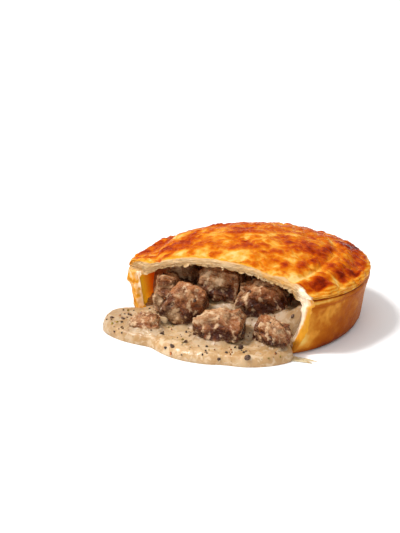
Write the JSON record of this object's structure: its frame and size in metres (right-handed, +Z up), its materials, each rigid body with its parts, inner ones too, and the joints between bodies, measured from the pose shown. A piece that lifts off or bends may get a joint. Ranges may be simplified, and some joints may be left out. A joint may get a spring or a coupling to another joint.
{
  "type": "cut pepper steak pie",
  "caption": "Round savoury pie with a domed puff lid, cut open across its front so that beef chunks in creamy pepper sauce run out as a pool.",
  "frame": {"origin": "the pie's axis, on the table under the middle of the case's floor", "axes": "+Z up from the table, the cut faces -Y, +X along the cut to the right end of it as seen from the front"},
  "size_m": [0.1097, 0.1186, 0.0388],
  "materials": {
    "baked_case": "baked pastry, golden and satin, paler where cut",
    "glazed_lid": "egg-washed puff pastry, mottled golden and brown, soft gloss",
    "pepper_sauce": "creamy sauce, glossy, flecked with cracked pepper",
    "braised_beef": "braised beef, fibrous, moist and glossy"
  },
  "bodies": {
    "root": {"pastry_case": "baked_case", "pastry_lid": "glazed_lid", "pepper_sauce": "pepper_sauce", "beef_middle_front": "braised_beef", "beef_left_front": "braised_beef", "beef_right_front": "braised_beef", "beef_spilled": "braised_beef", "beef_right_back": "braised_beef", "beef_middle_back": "braised_beef", "beef_left": "braised_beef", "beef_left_back": "braised_beef", "beef_deep": "braised_beef"}
  },
  "joints": []
}
